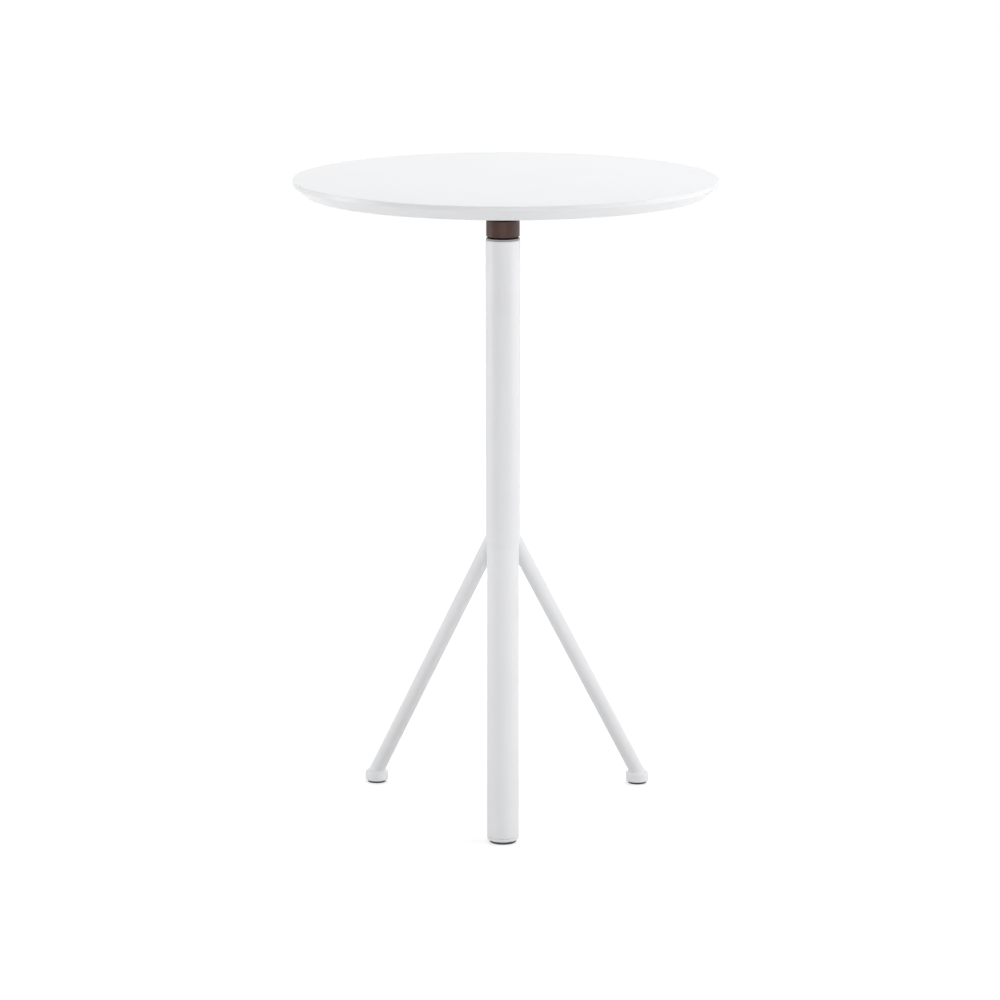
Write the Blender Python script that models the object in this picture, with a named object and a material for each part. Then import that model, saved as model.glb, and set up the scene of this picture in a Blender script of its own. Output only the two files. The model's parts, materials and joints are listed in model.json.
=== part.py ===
"""Bar table: a round tilting top on a column whose foot is the front leg of a tripod.

Metres, +Z up. The origin lies on the floor under the middle of the top, which is also
the middle of the triangle of feet. The column stands at -Y, the two side legs run to +Y.
"""

import math

import bmesh
import bpy
from mathutils import Vector
from mathutils.geometry import convex_hull_2d

# Clearance between two pieces that touch or fit into each other
FIT = 0.0003

# Tabletop
TOP_DIAMETER = 0.700
TOP_THICKNESS = 0.025
TOP_HEIGHT = 1.055
TOP_LIP = 0.008
TOP_UNDERCUT = 0.020
TOP_EDGE_RADIUS = 0.0015

# Triangle of feet
FOOT_SPACING = 0.445

# Column and front leg, which is the thinner tube that slides up into the column
FRONT_LEG_DIAMETER = 0.0516
FRONT_LEG_WALL = 0.002
COLUMN_WALL = 0.0015
COLUMN_EDGE = 0.0008
COLUMN_STEP_HEIGHT = 0.505
SLEEVE_LENGTH = 0.120
COLUMN_TO_TOP = 0.0405

# Side legs, whose axes meet the column's axis at the junction height
SIDE_LEG_DIAMETER = 0.0250
SIDE_LEG_WALL = 0.0015
JUNCTION_HEIGHT = 0.538

# Feet
CUP_DIAMETER = 0.0346
CUP_HEIGHT = 0.0165
CUP_EDGE_RADIUS = 0.0015
CUP_SPIGOT_LENGTH = 0.035
PLUG_FLANGE = 0.0062
PLUG_EDGE_RADIUS = 0.0032
PLUG_SPIGOT_LENGTH = 0.022
INSERT_DIAMETER = 0.012
GLIDE_HEIGHT = 0.0035
GLIDE_TAPER = 0.0010
FRONT_GLIDE_DIAMETER = 0.0440
SIDE_GLIDE_DIAMETER = 0.0320
GLIDE_POCKET = 0.0018
STUD_DIAMETER = 0.008
STUD_LENGTH = 0.0175

# Neck of the cast head, between the column and the top
NECK_DIAMETER = 0.0536
WASHER_HEIGHT = 0.0025
SEAL_HEIGHT = 0.0024
SEAL_INSET = 0.0025
NECK_EDGE_RADIUS = 0.0006
REST_PAD_HEIGHT = 0.0080
REST_PAD_BORE = 0.024
SPIGOT_DIAMETER = 0.038
SPIGOT_LENGTH = 0.075
COLUMN_SLEEVE_LENGTH = 0.060
SET_SCREW_DIAMETER = 0.006
SET_SCREW_DROP = 0.022
SET_SCREW_ANGLE = math.radians(40)
SET_SCREW_RECESS = 0.0006

# Cast arm and the pivot at its end
PIVOT_Y = 0.030
PIVOT_DROP = 0.024
BARREL_DIAMETER = 0.028
BARREL_WIDTH = 0.040
ARM_WIDTH = 0.036
ARM_END_DEPTH = 0.022
ARM_EDGE_RADIUS = 0.003
BOLT_DIAMETER = 0.010
BUSH_WALL = 0.0022
BUSH_LENGTH = 0.016
BUSH_FLANGE_DIAMETER = 0.024
BUSH_FLANGE = 0.0012

# Mounting plate with its two ears
PLATE_WIDTH = 0.150
PLATE_LENGTH = 0.180
PLATE_THICKNESS = 0.003
PLATE_CORNER_RADIUS = 0.014
PLATE_SHIFT = 0.010
EAR_THICKNESS = 0.003
EAR_EYE_RADIUS = 0.0145
EAR_ROOT_LENGTH = 0.062
EAR_ROOT_RADIUS = 0.002

# Screws that hold the mounting plate
SCREW_DIAMETER = 0.0045
SCREW_HEAD_DIAMETER = 0.0095
SCREW_HEAD = 0.0028
SCREW_GRIP = 0.014
SCREW_TIP = 0.003
SCREW_EDGE = 0.014
PILOT_SPARE = 0.002

# Pivot hardware and locking lever
WASHER_DIAMETER = 0.020
WASHER_THICKNESS = 0.0016
HEAD_ACROSS_CORNERS = 0.0185
HEAD_THICKNESS = 0.0064
CAM_PAD_THICKNESS = 0.004
CAM_RADIUS = 0.009
PIN_DIAMETER = 0.006
BOLT_BEYOND_PIN = 0.0055
LEVER_HEIGHT = 0.019
LEVER_LENGTH = 0.072
LEVER_END_RADIUS = 0.0062
LEVER_SPLAY = 0.010
LEVER_EDGE_RADIUS = 0.0018
PIN_INSET = 0.0008

# Facets round a full turn
FINE = 96
ROUND = 40
TUBE = 28
SMALL = 16

# Sizes that follow from the ones above
TOP_RADIUS = TOP_DIAMETER / 2
UNDERSIDE = TOP_HEIGHT - TOP_THICKNESS
FRONT_LEG_RADIUS = FRONT_LEG_DIAMETER / 2
FRONT_LEG_BORE = FRONT_LEG_RADIUS - FRONT_LEG_WALL
COLUMN_BORE = FRONT_LEG_RADIUS + FIT
COLUMN_RADIUS = COLUMN_BORE + COLUMN_WALL
COLUMN_TOP = UNDERSIDE - COLUMN_TO_TOP
SIDE_LEG_RADIUS = SIDE_LEG_DIAMETER / 2
SIDE_LEG_BORE = SIDE_LEG_RADIUS - SIDE_LEG_WALL
NECK_RADIUS = NECK_DIAMETER / 2
SPIGOT_RADIUS = SPIGOT_DIAMETER / 2
WASHER_BOTTOM = COLUMN_TOP + FIT
SEAL_BOTTOM = WASHER_BOTTOM + WASHER_HEIGHT + FIT
NECK_BOTTOM = SEAL_BOTTOM + SEAL_HEIGHT + FIT
REST_PAD_BOTTOM = UNDERSIDE - FIT - REST_PAD_HEIGHT
NECK_TOP = REST_PAD_BOTTOM - FIT
PIVOT_Z = UNDERSIDE - PIVOT_DROP
BOLT_RADIUS = BOLT_DIAMETER / 2
BUSH_BORE = BOLT_RADIUS + FIT
BUSH_RADIUS = BUSH_BORE + BUSH_WALL
EAR_INNER = BARREL_WIDTH / 2 + FIT + BUSH_FLANGE + FIT
EAR_OUTER = EAR_INNER + EAR_THICKNESS
WASHER_INNER = EAR_OUTER + FIT
WASHER_OUTER = WASHER_INNER + WASHER_THICKNESS
CAM_PAD_INNER = WASHER_OUTER + FIT
PIN_X = CAM_PAD_INNER + CAM_PAD_THICKNESS + FIT + CAM_RADIUS
BOLT_END = PIN_X + BOLT_BEYOND_PIN
GLIDE_SEAT = GLIDE_HEIGHT + FIT
CUP_TOP = GLIDE_SEAT + CUP_HEIGHT
STUD_BOTTOM = GLIDE_HEIGHT - GLIDE_POCKET + FIT
STUD_HOLE_RADIUS = STUD_DIAMETER / 2 + FIT
STUD_HOLE_TOP = STUD_BOTTOM + STUD_LENGTH + FIT
PLATE_TOP = UNDERSIDE - FIT
PLATE_BOTTOM = PLATE_TOP - PLATE_THICKNESS

FRONT_FOOT = Vector((0, -FOOT_SPACING / math.sqrt(3), 0))
REAR_FOOT_Y = FOOT_SPACING / math.sqrt(3) / 2
SIDE_FEET = {
    "left": Vector((-FOOT_SPACING / 2, REAR_FOOT_Y, 0)),
    "right": Vector((FOOT_SPACING / 2, REAR_FOOT_Y, 0)),
}
SIDES = {"left": -1, "right": 1}
COLUMN_Y = FRONT_FOOT.y
PIVOT = Vector((0, PIVOT_Y, PIVOT_Z))
PIN = Vector((PIN_X, PIVOT_Y, PIVOT_Z))

# Turns a piece made along Z so that it lies along X, its outline in the YZ plane
ALONG_X = (math.pi / 2, 0, math.pi / 2)


def clear_scene():
    for obj in list(bpy.data.objects):
        bpy.data.objects.remove(obj)


def make_material(name, colour, roughness, metallic=0.0):
    material = bpy.data.materials.new(name)
    material.use_nodes = True
    shader = material.node_tree.nodes["Principled BSDF"]
    shader.inputs["Base Color"].default_value = (*colour, 1)
    shader.inputs["Roughness"].default_value = roughness
    shader.inputs["Metallic"].default_value = metallic
    material.diffuse_color = (*colour, 1)
    return material


def add_object(name, mesh_builder, material, location=(0, 0, 0), rotation=(0, 0, 0)):
    """An object whose mesh is the closed bmesh that mesh_builder fills."""
    bm = bmesh.new()
    mesh_builder(bm)
    bmesh.ops.recalc_face_normals(bm, faces=bm.faces)
    mesh = bpy.data.meshes.new(name)
    bm.to_mesh(mesh)
    bm.free()
    mesh.shade_smooth()
    mesh.set_sharp_from_angle(angle=math.radians(35))
    if material is not None:
        mesh.materials.append(material)
    obj = bpy.data.objects.new(name, mesh)
    obj.location = location
    obj.rotation_euler = rotation
    bpy.context.scene.collection.objects.link(obj)
    return obj


def turned(profile, facets, is_ring=False):
    """Turns (radius, height) points about Z: a ring closes on itself, else flat ends close it."""

    def build(bm):
        rings = []
        for radius, height in profile:
            ring = []
            for step in range(facets):
                angle = 2 * math.pi * step / facets
                ring.append(bm.verts.new((radius * math.cos(angle), radius * math.sin(angle), height)))
            rings.append(ring)
        pairs = list(zip(rings, rings[1:]))
        if is_ring:
            pairs.append((rings[-1], rings[0]))
        else:
            bm.faces.new(rings[0])
            bm.faces.new(rings[-1])
        for lower, upper in pairs:
            for step in range(facets):
                after = (step + 1) % facets
                bm.faces.new((lower[step], lower[after], upper[after], upper[step]))

    return build


def tube_profile(outer, inner, bottom, top):
    return [(outer, bottom), (outer, top), (inner, top), (inner, bottom)]


def rod_profile(radius, bottom, top):
    return [(radius, bottom), (radius, top)]


def arc_profile(centre_radius, centre_height, radius, start, end, steps=4):
    """Points of a quarter round or less in a turned profile, angles in degrees."""
    points = []
    for step in range(steps + 1):
        angle = math.radians(start + (end - start) * step / steps)
        points.append((centre_radius + radius * math.cos(angle), centre_height + radius * math.sin(angle)))
    return points


def hull_prism(circles, thickness, facets=SMALL):
    """A flat piece, thick along Z, whose outline wraps circles given as (x, y, radius)."""

    def build(bm):
        points = []
        for x, y, radius in circles:
            for step in range(facets):
                angle = 2 * math.pi * step / facets
                points.append(Vector((x + radius * math.cos(angle), y + radius * math.sin(angle))))
        outline = [points[index] for index in convex_hull_2d(points)]
        lower = bm.faces.new([bm.verts.new((*point, -thickness / 2)) for point in outline])
        moved = bmesh.ops.extrude_face_region(bm, geom=[lower])["geom"]
        upper_verts = [part for part in moved if isinstance(part, bmesh.types.BMVert)]
        bmesh.ops.translate(bm, verts=upper_verts, vec=(0, 0, thickness))

    return build


def round_edges(obj, radius, segments=2):
    bevel = obj.modifiers.new("round_edges", "BEVEL")
    bevel.width = radius
    bevel.segments = segments
    bevel.limit_method = "ANGLE"
    bevel.angle_limit = math.radians(50)


def combine(obj, operation, mesh_builder, location=(0, 0, 0), rotation=(0, 0, 0), edge_radius=0):
    """Joins or cuts obj with a hidden helper, which is placed in the same space as obj's parent."""
    name = f"{obj.name}_{operation.lower()}_{len(obj.modifiers)}"
    helper = add_object(name, mesh_builder, None, location, rotation)
    if edge_radius:
        round_edges(helper, edge_radius)
    helper.hide_render = True
    helper.display_type = "WIRE"
    helper.parent = obj.parent
    boolean = obj.modifiers.new(name, "BOOLEAN")
    boolean.operation = operation
    boolean.solver = "EXACT"
    boolean.object = helper


def cut(obj, mesh_builder, location=(0, 0, 0), rotation=(0, 0, 0)):
    combine(obj, "DIFFERENCE", mesh_builder, location, rotation)


def join(obj, mesh_builder, location=(0, 0, 0), rotation=(0, 0, 0), edge_radius=0):
    combine(obj, "UNION", mesh_builder, location, rotation, edge_radius)


def add_axis(name, location, parent=None):
    """An empty on a joint's axis, given in the space of its parent."""
    empty = bpy.data.objects.new(name, None)
    empty.empty_display_size = 0.03
    empty.location = location
    empty.parent = parent
    bpy.context.scene.collection.objects.link(empty)
    return empty


def add_on_axis(axis, name, mesh_builder, material, location=(0, 0, 0), rotation=(0, 0, 0)):
    """An object placed relative to the empty of the joint that carries it."""
    obj = add_object(name, mesh_builder, material, location, rotation)
    obj.parent = axis
    return obj


def side_leg_line(side):
    """Where a side leg's axis meets the column's axis, where it meets its cup, and its direction."""
    start = Vector((0, COLUMN_Y, JUNCTION_HEIGHT))
    foot = SIDE_FEET[side]
    end = Vector((foot.x, foot.y, CUP_TOP))
    return start, end, (end - start).normalized()


def make_column(white, steel):
    rim_radius = COLUMN_RADIUS - COLUMN_EDGE
    column_profile = [
        (rim_radius, COLUMN_STEP_HEIGHT),
        (COLUMN_RADIUS, COLUMN_STEP_HEIGHT + COLUMN_EDGE),
        (COLUMN_RADIUS, COLUMN_TOP - COLUMN_EDGE),
        (rim_radius, COLUMN_TOP),
        (COLUMN_BORE, COLUMN_TOP),
        (COLUMN_BORE, COLUMN_STEP_HEIGHT),
    ]
    column = add_object("column_tube", turned(column_profile, ROUND, True), white, (0, COLUMN_Y, 0))
    front_leg_top = COLUMN_STEP_HEIGHT + SLEEVE_LENGTH
    front_leg_bottom = GLIDE_SEAT + PLUG_FLANGE + FIT
    add_object(
        "front_leg_tube",
        turned(tube_profile(FRONT_LEG_RADIUS, FRONT_LEG_BORE, front_leg_bottom, front_leg_top), ROUND, True),
        white,
        (0, COLUMN_Y, 0),
    )
    sleeve_top = COLUMN_TOP - FIT
    sleeve_outer = COLUMN_BORE - FIT
    sleeve_bore = SPIGOT_RADIUS + FIT
    sleeve = add_object(
        "column_sleeve",
        turned(tube_profile(sleeve_outer, sleeve_bore, sleeve_top - COLUMN_SLEEVE_LENGTH, sleeve_top), ROUND, True),
        steel,
        (0, COLUMN_Y, 0),
    )
    screw_height = COLUMN_TOP - SET_SCREW_DROP
    screw_radius = SET_SCREW_DIAMETER / 2
    for side, sign in SIDES.items():
        direction = Vector((sign * math.sin(SET_SCREW_ANGLE), math.cos(SET_SCREW_ANGLE), 0))
        rotation = direction.to_track_quat("Z", "Y").to_euler()
        place = (0, COLUMN_Y, screw_height)
        hole = rod_profile(screw_radius + FIT, SPIGOT_RADIUS / 2, COLUMN_RADIUS + COLUMN_WALL)
        cut(column, turned(hole, SMALL), place, rotation)
        cut(sleeve, turned(hole, SMALL), place, rotation)
        screw = rod_profile(screw_radius, SPIGOT_RADIUS + FIT, COLUMN_RADIUS - SET_SCREW_RECESS)
        add_object(f"set_screw_{side}", turned(screw, SMALL), steel, place, rotation)


def make_side_legs(white):
    coping = [
        (FRONT_LEG_RADIUS + FIT, 0),
        (FRONT_LEG_RADIUS + FIT, COLUMN_STEP_HEIGHT - FIT),
        (COLUMN_RADIUS + FIT, COLUMN_STEP_HEIGHT - FIT),
        (COLUMN_RADIUS + FIT, COLUMN_TOP),
    ]
    for side in SIDES:
        start, end, direction = side_leg_line(side)
        rotation = direction.to_track_quat("Z", "Y").to_euler()
        beyond = 2 * SIDE_LEG_DIAMETER
        length = (end - start).length + beyond
        leg = add_object(
            f"side_leg_{side}",
            turned(tube_profile(SIDE_LEG_RADIUS, SIDE_LEG_BORE, 0, length), TUBE, True),
            white,
            start,
            rotation,
        )
        cut(leg, turned(coping, ROUND), (0, COLUMN_Y, 0))
        floor_cut = rod_profile(2 * CUP_DIAMETER, -2 * beyond, CUP_TOP + FIT)
        cut(leg, turned(floor_cut, SMALL), (end.x, end.y, 0))


def make_side_cups(white):
    for side, foot in SIDE_FEET.items():
        _, end, direction = side_leg_line(side)
        radius = CUP_DIAMETER / 2
        profile = [(radius - CUP_EDGE_RADIUS / 2, GLIDE_SEAT), (radius, GLIDE_SEAT + CUP_EDGE_RADIUS / 2)]
        profile += arc_profile(radius - CUP_EDGE_RADIUS, CUP_TOP - CUP_EDGE_RADIUS, CUP_EDGE_RADIUS, 0, 90)
        cup = add_object(f"foot_cup_{side}", turned(profile, TUBE), white, foot)
        spigot_radius = SIDE_LEG_BORE - FIT
        spigot = rod_profile(spigot_radius, -CUP_HEIGHT / 2, CUP_SPIGOT_LENGTH)
        rotation = (-direction).to_track_quat("Z", "Y").to_euler()
        join(cup, turned(spigot, TUBE), end, rotation)
        cut(cup, turned(rod_profile(STUD_HOLE_RADIUS, 0, STUD_HOLE_TOP), SMALL), foot)


def make_front_plug(white, steel):
    radius = FRONT_LEG_RADIUS
    flange_top = GLIDE_SEAT + PLUG_FLANGE
    spigot_top = flange_top + PLUG_SPIGOT_LENGTH
    bore = INSERT_DIAMETER / 2 + FIT
    profile = arc_profile(radius - PLUG_EDGE_RADIUS, GLIDE_SEAT + PLUG_EDGE_RADIUS, PLUG_EDGE_RADIUS, -90, 0)
    profile += [
        (radius, flange_top),
        (FRONT_LEG_BORE - FIT, flange_top),
        (FRONT_LEG_BORE - FIT, spigot_top),
        (bore, spigot_top),
        (bore, GLIDE_SEAT),
    ]
    add_object("front_foot_plug", turned(profile, ROUND, True), white, FRONT_FOOT)
    insert = tube_profile(INSERT_DIAMETER / 2, STUD_HOLE_RADIUS, GLIDE_SEAT, spigot_top - FIT)
    add_object("thread_insert", turned(insert, SMALL, True), steel, FRONT_FOOT)


def make_glides(dark, steel):
    feet = {"front": (FRONT_FOOT, FRONT_GLIDE_DIAMETER)}
    for side, foot in SIDE_FEET.items():
        feet[side] = (foot, SIDE_GLIDE_DIAMETER)
    for name, (foot, diameter) in feet.items():
        axis = add_axis(f"glide_axis_{name}", foot)
        radius = diameter / 2
        pocket_floor = GLIDE_HEIGHT - GLIDE_POCKET
        disc = [
            (STUD_HOLE_RADIUS, pocket_floor),
            (STUD_HOLE_RADIUS, GLIDE_HEIGHT),
            (radius, GLIDE_HEIGHT),
            (radius, GLIDE_HEIGHT / 2),
            (radius - GLIDE_TAPER, 0),
        ]
        add_on_axis(axis, f"glide_disc_{name}", turned(disc, TUBE), dark)
        stud = rod_profile(STUD_DIAMETER / 2, STUD_BOTTOM, STUD_BOTTOM + STUD_LENGTH)
        add_on_axis(axis, f"glide_stud_{name}", turned(stud, SMALL), steel)


def make_neck_rings(grey, dark):
    place = (0, COLUMN_Y, 0)
    bore = SPIGOT_RADIUS + FIT
    washer = tube_profile(NECK_RADIUS, bore, WASHER_BOTTOM, WASHER_BOTTOM + WASHER_HEIGHT)
    add_object("neck_washer", turned(washer, ROUND, True), grey, place)
    seal_radius = NECK_RADIUS - SEAL_INSET
    seal = tube_profile(seal_radius, bore, SEAL_BOTTOM, SEAL_BOTTOM + SEAL_HEIGHT)
    add_object("neck_seal", turned(seal, ROUND, True), dark, place)
    pad = tube_profile(seal_radius, REST_PAD_BORE / 2, REST_PAD_BOTTOM, REST_PAD_BOTTOM + REST_PAD_HEIGHT)
    add_object("rest_pad", turned(pad, ROUND, True), dark, place)


def make_head(brown, nylon):
    """The casting: a neck over the column, a spigot down into it, an arm back to the pivot barrel."""
    place = (0, COLUMN_Y, 0)
    edge = NECK_RADIUS - NECK_EDGE_RADIUS
    neck = [(edge, NECK_BOTTOM), (NECK_RADIUS, NECK_BOTTOM + NECK_EDGE_RADIUS)]
    neck += [(NECK_RADIUS, NECK_TOP - NECK_EDGE_RADIUS), (edge, NECK_TOP)]
    head = add_object("head_casting", turned(neck, ROUND), brown, place)
    spigot = rod_profile(SPIGOT_RADIUS, NECK_BOTTOM - SPIGOT_LENGTH, NECK_BOTTOM + SEAL_HEIGHT)
    join(head, turned(spigot, ROUND), place)
    reach = COLUMN_Y - PIVOT_Y
    corner = ARM_EDGE_RADIUS
    arm = [
        (0, ARM_END_DEPTH / 2 - corner, corner),
        (0, corner - ARM_END_DEPTH / 2, corner),
        (reach, NECK_TOP - PIVOT_Z - corner - FIT, corner),
        (reach, NECK_BOTTOM - PIVOT_Z + corner + FIT, corner),
    ]
    join(head, hull_prism(arm, ARM_WIDTH), PIVOT, ALONG_X, ARM_EDGE_RADIUS)
    barrel = rod_profile(BARREL_DIAMETER / 2, -BARREL_WIDTH / 2, BARREL_WIDTH / 2)
    join(head, turned(barrel, TUBE), PIVOT, ALONG_X)
    bore = rod_profile(BUSH_RADIUS + FIT, -BARREL_WIDTH, BARREL_WIDTH)
    cut(head, turned(bore, SMALL), PIVOT, ALONG_X)
    for side, sign in SIDES.items():
        face = BARREL_WIDTH / 2 + FIT
        flange_face = face + BUSH_FLANGE
        bush = [
            (BUSH_BORE, sign * (face - BUSH_LENGTH)),
            (BUSH_RADIUS, sign * (face - BUSH_LENGTH)),
            (BUSH_RADIUS, sign * face),
            (BUSH_FLANGE_DIAMETER / 2, sign * face),
            (BUSH_FLANGE_DIAMETER / 2, sign * flange_face),
            (BUSH_BORE, sign * flange_face),
        ]
        add_object(f"pivot_bush_{side}", turned(bush, SMALL, True), nylon, PIVOT, ALONG_X)


def screw_places():
    """Middle of each plate screw, seen from above, relative to the pivot."""
    inset_x = PLATE_WIDTH / 2 - SCREW_EDGE
    inset_y = PLATE_LENGTH / 2 - SCREW_EDGE
    places = []
    for row in (-1, 0, 1):
        for sign in SIDES.values():
            places.append((sign * inset_x, PLATE_SHIFT - PIVOT_Y + row * inset_y))
    return places


def make_tabletop(axis, white, steel):
    profile = [
        (TOP_RADIUS - TOP_UNDERCUT, UNDERSIDE),
        (TOP_RADIUS, TOP_HEIGHT - TOP_LIP),
    ]
    profile += arc_profile(TOP_RADIUS - TOP_EDGE_RADIUS, TOP_HEIGHT - TOP_EDGE_RADIUS, TOP_EDGE_RADIUS, 0, 90)
    profile = [(radius, height - PIVOT_Z) for radius, height in profile]
    top = add_on_axis(axis, "tabletop", turned(profile, FINE), white, (0, -PIVOT_Y, 0))
    head_face = PLATE_BOTTOM - FIT - PIVOT_Z
    shank_end = head_face + FIT + PLATE_THICKNESS + FIT + SCREW_GRIP
    for number, (x, y) in enumerate(screw_places(), start=1):
        pilot = rod_profile(SCREW_DIAMETER / 2 + FIT, 0, shank_end + PILOT_SPARE)
        cut(top, turned(pilot, SMALL), (x, y, 0))
        shank = SCREW_DIAMETER / 2
        screw = [
            (SCREW_HEAD_DIAMETER / 2 - SCREW_HEAD / 2, head_face - SCREW_HEAD),
            (SCREW_HEAD_DIAMETER / 2, head_face - SCREW_HEAD / 2),
            (SCREW_HEAD_DIAMETER / 2, head_face),
            (shank, head_face),
            (shank, shank_end - SCREW_TIP),
            (shank / 4, shank_end),
        ]
        add_on_axis(axis, f"plate_screw_{number}", turned(screw, SMALL), steel, (x, y, 0))


def make_mounting_plate(axis, steel):
    corner_x = PLATE_WIDTH / 2 - PLATE_CORNER_RADIUS
    corner_y = PLATE_LENGTH / 2 - PLATE_CORNER_RADIUS
    corners = []
    for x in (-corner_x, corner_x):
        for y in (-corner_y, corner_y):
            corners.append((x, y + PLATE_SHIFT - PIVOT_Y, PLATE_CORNER_RADIUS))
    middle = PLATE_BOTTOM + PLATE_THICKNESS / 2 - PIVOT_Z
    plate = add_on_axis(axis, "mounting_plate", hull_prism(corners, PLATE_THICKNESS), steel, (0, 0, middle))
    root = EAR_ROOT_LENGTH / 2 - EAR_ROOT_RADIUS
    ear = [
        (0, 0, EAR_EYE_RADIUS),
        (-root, middle - EAR_ROOT_RADIUS / 2, EAR_ROOT_RADIUS),
        (root, middle - EAR_ROOT_RADIUS / 2, EAR_ROOT_RADIUS),
    ]
    for sign in SIDES.values():
        ear_middle = sign * (EAR_INNER + EAR_THICKNESS / 2)
        join(plate, hull_prism(ear, EAR_THICKNESS), (ear_middle, 0, 0), ALONG_X)
    cut(plate, turned(rod_profile(BOLT_RADIUS + FIT, -EAR_OUTER - FIT, EAR_OUTER + FIT), SMALL), (0, 0, 0), ALONG_X)
    for x, y in screw_places():
        hole = rod_profile(SCREW_DIAMETER / 2 + FIT, middle - PLATE_THICKNESS, middle + PLATE_THICKNESS)
        cut(plate, turned(hole, SMALL), (x, y, 0))


def make_pivot_hardware(axis, steel, dark):
    head_face = -WASHER_OUTER - FIT
    bolt = add_on_axis(
        axis,
        "pivot_bolt",
        turned(rod_profile(BOLT_RADIUS, head_face - HEAD_THICKNESS / 2, BOLT_END), SMALL),
        steel,
        (0, 0, 0),
        ALONG_X,
    )
    hexagon = rod_profile(HEAD_ACROSS_CORNERS / 2, head_face - HEAD_THICKNESS, head_face)
    join(bolt, turned(hexagon, 6), (0, 0, 0), ALONG_X)
    cross_hole = rod_profile(PIN_DIAMETER / 2 + FIT, -BOLT_DIAMETER, BOLT_DIAMETER)
    cut(bolt, turned(cross_hole, SMALL), (PIN_X, 0, 0))
    for side, sign in SIDES.items():
        faces = sorted((sign * WASHER_INNER, sign * WASHER_OUTER))
        washer = tube_profile(WASHER_DIAMETER / 2, BOLT_RADIUS + FIT, *faces)
        add_on_axis(axis, f"pivot_washer_{side}", turned(washer, SMALL, True), steel, (0, 0, 0), ALONG_X)
    pad = tube_profile(CAM_RADIUS, BOLT_RADIUS + FIT, CAM_PAD_INNER, CAM_PAD_INNER + CAM_PAD_THICKNESS)
    add_on_axis(axis, "cam_pad", turned(pad, SMALL, True), dark, (0, 0, 0), ALONG_X)


def make_lever(axis, dark, steel):
    outline = [(0, 0, CAM_RADIUS), (LEVER_SPLAY, LEVER_LENGTH, LEVER_END_RADIUS)]
    lever = add_on_axis(axis, "lock_lever", hull_prism(outline, LEVER_HEIGHT), dark)
    round_edges(lever, LEVER_EDGE_RADIUS)
    slot_half = BOLT_RADIUS + FIT
    slot_radius = BOLT_BEYOND_PIN + BOLT_RADIUS
    cut(lever, turned(rod_profile(slot_radius, -slot_half, slot_half), TUBE))
    pin_radius = PIN_DIAMETER / 2
    cut(lever, turned(rod_profile(pin_radius + FIT, -LEVER_HEIGHT, LEVER_HEIGHT), SMALL))
    half = LEVER_HEIGHT / 2 - PIN_INSET
    add_on_axis(axis, "lever_pin", turned(rod_profile(pin_radius, -half, half), SMALL), steel)


def main():
    clear_scene()
    white = make_material("white_powder_coat", (0.86, 0.86, 0.87), 0.45)
    board = make_material("white_laminate", (0.90, 0.90, 0.91), 0.40)
    brown = make_material("brown_coat", (0.095, 0.060, 0.054), 0.50)
    dark = make_material("dark_plastic", (0.045, 0.045, 0.048), 0.60)
    grey = make_material("grey_plastic", (0.40, 0.39, 0.39), 0.55)
    nylon = make_material("natural_nylon", (0.75, 0.73, 0.68), 0.50)
    steel = make_material("zinc_steel", (0.60, 0.61, 0.62), 0.35, 1.0)
    make_column(white, steel)
    make_side_legs(white)
    make_side_cups(white)
    make_front_plug(white, steel)
    make_glides(dark, steel)
    make_neck_rings(grey, dark)
    make_head(brown, nylon)
    tilt_axis = add_axis("tilt_axis", PIVOT)
    make_tabletop(tilt_axis, board, steel)
    make_mounting_plate(tilt_axis, steel)
    make_pivot_hardware(tilt_axis, steel, dark)
    lever_axis = add_axis("lever_axis", PIN - PIVOT, tilt_axis)
    make_lever(lever_axis, dark, steel)


main()
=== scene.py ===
"""Looks of a bar table: finishes, fine surfaces, studio light and camera around the fixed frame.

Metres, +Z up. The origin lies on the floor under the middle of the top. The column stands
at -Y, nearest the camera. Places and main sizes come from the frame's nodes. What a node's
box can't tell is a named value below, with the same meaning as in the part's source, apart
from edge roundings, which are finer here.
"""

import json
import math

import bmesh
import bpy
from mathutils import Matrix, Vector
from mathutils.geometry import convex_hull_2d

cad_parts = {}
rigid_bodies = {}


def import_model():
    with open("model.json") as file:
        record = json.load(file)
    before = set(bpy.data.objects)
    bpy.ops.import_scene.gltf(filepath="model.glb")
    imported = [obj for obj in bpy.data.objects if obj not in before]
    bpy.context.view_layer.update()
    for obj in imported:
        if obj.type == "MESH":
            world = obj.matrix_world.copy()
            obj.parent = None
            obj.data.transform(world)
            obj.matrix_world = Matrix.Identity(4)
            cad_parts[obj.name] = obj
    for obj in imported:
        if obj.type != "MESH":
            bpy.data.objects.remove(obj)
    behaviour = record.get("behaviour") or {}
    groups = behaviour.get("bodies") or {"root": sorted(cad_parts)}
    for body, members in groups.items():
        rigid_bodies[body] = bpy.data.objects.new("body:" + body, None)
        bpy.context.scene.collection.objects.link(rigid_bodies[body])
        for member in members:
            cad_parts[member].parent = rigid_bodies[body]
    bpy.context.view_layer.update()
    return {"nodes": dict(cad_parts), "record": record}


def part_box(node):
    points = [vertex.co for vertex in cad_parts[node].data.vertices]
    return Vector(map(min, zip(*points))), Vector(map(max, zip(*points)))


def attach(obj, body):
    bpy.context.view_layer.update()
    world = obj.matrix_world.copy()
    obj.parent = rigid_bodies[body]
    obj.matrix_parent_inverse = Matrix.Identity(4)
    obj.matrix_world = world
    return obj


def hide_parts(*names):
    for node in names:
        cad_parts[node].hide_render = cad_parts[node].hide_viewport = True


# Camera: distance and azimuth from the origin, height, and where it looks
CAMERA_DISTANCE = 7.734
CAMERA_AZIMUTH = math.radians(1.0)
CAMERA_HEIGHT = 2.048
CAMERA_PITCH = math.radians(11.201)
CAMERA_YAW = math.radians(0.070)
CAMERA_LENS = 170.70
SENSOR_WIDTH = 36.0
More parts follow.
